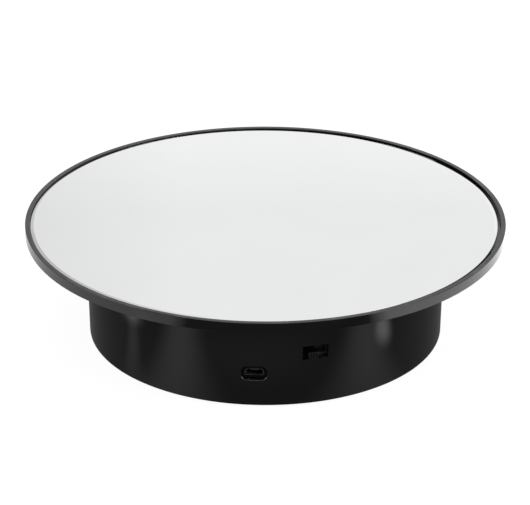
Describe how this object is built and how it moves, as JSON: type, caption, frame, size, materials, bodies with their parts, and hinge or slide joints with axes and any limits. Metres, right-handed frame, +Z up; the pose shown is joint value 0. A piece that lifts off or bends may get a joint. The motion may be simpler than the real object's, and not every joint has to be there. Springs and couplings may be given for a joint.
{
  "type": "turntable display stand",
  "caption": "Low round motorised turntable stand with a mirror-topped rotating platter, drum base, slide switch and charging socket.",
  "frame": {"origin": "on the surface the stand rests on, directly under the platter's axis", "axes": "+Z up along the platter's axis; -Y towards the side with the charging socket; +X to the right of it"},
  "size_m": [0.2, 0.2, 0.05],
  "materials": {
    "gloss_black_plastic": "glossy moulded",
    "satin_black_plastic": "fine satin moulded",
    "grey_acetal": "satin",
    "white_acetal": "satin",
    "mirror_glass": "polished, bevelled edge",
    "foam_tape": "dull",
    "bronze": "turned",
    "ball_steel": "polished",
    "plated_steel": "plated",
    "magnet_ferrite": "ground",
    "wound_copper": "enamelled",
    "circuit_board": "lacquered",
    "capacitor_can": "satin",
    "red_insulation": "soft sheen",
    "black_insulation": "soft sheen",
    "foot_rubber": "dull"
  },
  "bodies": {
    "base": {"base_shell": "gloss_black_plastic", "bottom_cover": "satin_black_plastic", "cover_screws": "plated_steel", "spindle_post": "plated_steel", "retaining_washer": "plated_steel", "retaining_screw": "plated_steel", "gearbox_case": "grey_acetal", "gearbox_lid": "grey_acetal", "gearbox_screws": "plated_steel", "first_gear_axle": "plated_steel", "second_gear_axle": "plated_steel", "output_bush_lower": "bronze", "output_bush_upper": "bronze", "motor_can": "plated_steel", "motor_magnets": "magnet_ferrite", "motor_end_cap": "grey_acetal", "motor_terminals": "bronze", "motor_screws": "plated_steel", "control_board": "circuit_board", "usb_socket_shell": "plated_steel", "usb_contact_tongue": "satin_black_plastic", "driver_chip": "satin_black_plastic", "board_capacitor": "capacitor_can", "board_screws": "plated_steel", "switch_body": "satin_black_plastic", "switch_terminals": "bronze", "switch_clamp": "satin_black_plastic", "switch_screws": "plated_steel", "battery_plates": "plated_steel", "battery_springs": "plated_steel", "motor_lead_red": "red_insulation", "motor_lead_black": "black_insulation", "battery_lead_red": "red_insulation", "battery_lead_black": "black_insulation", "switch_lead_1": "black_insulation", "switch_lead_2": "black_insulation", "switch_lead_3": "black_insulation", "rubber_foot_1": "foot_rubber", "rubber_foot_2": "foot_rubber", "rubber_foot_3": "foot_rubber", "rubber_foot_4": "foot_rubber"},
    "platter": {"platter_disc": "gloss_black_plastic", "mirror_plate": "mirror_glass", "mirror_tape": "foam_tape", "spindle_bush": "bronze", "platter_drive_gear": "white_acetal", "drive_gear_screws": "plated_steel"},
    "ball_race": {"ball_cage": "grey_acetal", "bearing_balls": "ball_steel"},
    "output_stage": {"output_shaft": "plated_steel", "output_gear": "white_acetal", "output_pinion": "white_acetal"},
    "second_stage": {"second_reduction_gear": "white_acetal"},
    "first_stage": {"first_reduction_gear": "white_acetal"},
    "motor_rotor": {"motor_pinion": "bronze", "motor_shaft": "plated_steel", "motor_armature": "wound_copper"},
    "switch_slider": {"switch_knob": "gloss_black_plastic"},
    "battery_lid": {"battery_door": "satin_black_plastic"}
  },
  "joints": [
    {"name": "platter_spin", "type": "hinge", "parent": "base", "child": "platter", "pos_m": [0, 0, 0.0457], "axis": [0, 0, 1], "continuous": true},
    {"name": "ball_race_spin", "type": "hinge", "parent": "base", "child": "ball_race", "pos_m": [0, 0, 0.04365], "axis": [0, 0, 1], "continuous": true},
    {"name": "output_spin", "type": "hinge", "parent": "base", "child": "output_stage", "pos_m": [0.0336, 0, 0.0305], "axis": [0, 0, 1], "continuous": true},
    {"name": "second_spin", "type": "hinge", "parent": "base", "child": "second_stage", "pos_m": [0.02765, 0.01635, 0.0252], "axis": [0, 0, 1], "continuous": true},
    {"name": "first_spin", "type": "hinge", "parent": "base", "child": "first_stage", "pos_m": [0.01355, 0.02148, 0.0215], "axis": [0, 0, 1], "continuous": true},
    {"name": "rotor_spin", "type": "hinge", "parent": "base", "child": "motor_rotor", "pos_m": [0.02105, 0.03447, 0.0215], "axis": [0, 0, 1], "continuous": true},
    {"name": "switch_slide", "type": "slide", "parent": "base", "child": "switch_slider", "axis": [0.9452, 0.3264, 0], "range_m": [-0.002, 0.002]},
    {"name": "battery_door_slide", "type": "slide", "parent": "base", "child": "battery_lid", "axis": [1, 0, 0], "range_m": [0, 0.006]}
  ],
  "couplings": [
    {"joint": "ball_race_spin", "follows": "platter_spin", "ratio": 0.5},
    {"joint": "output_spin", "follows": "platter_spin", "ratio": -6},
    {"joint": "second_spin", "follows": "platter_spin", "ratio": 28.8},
    {"joint": "first_spin", "follows": "platter_spin", "ratio": -144},
    {"joint": "rotor_spin", "follows": "platter_spin", "ratio": 720}
  ]
}
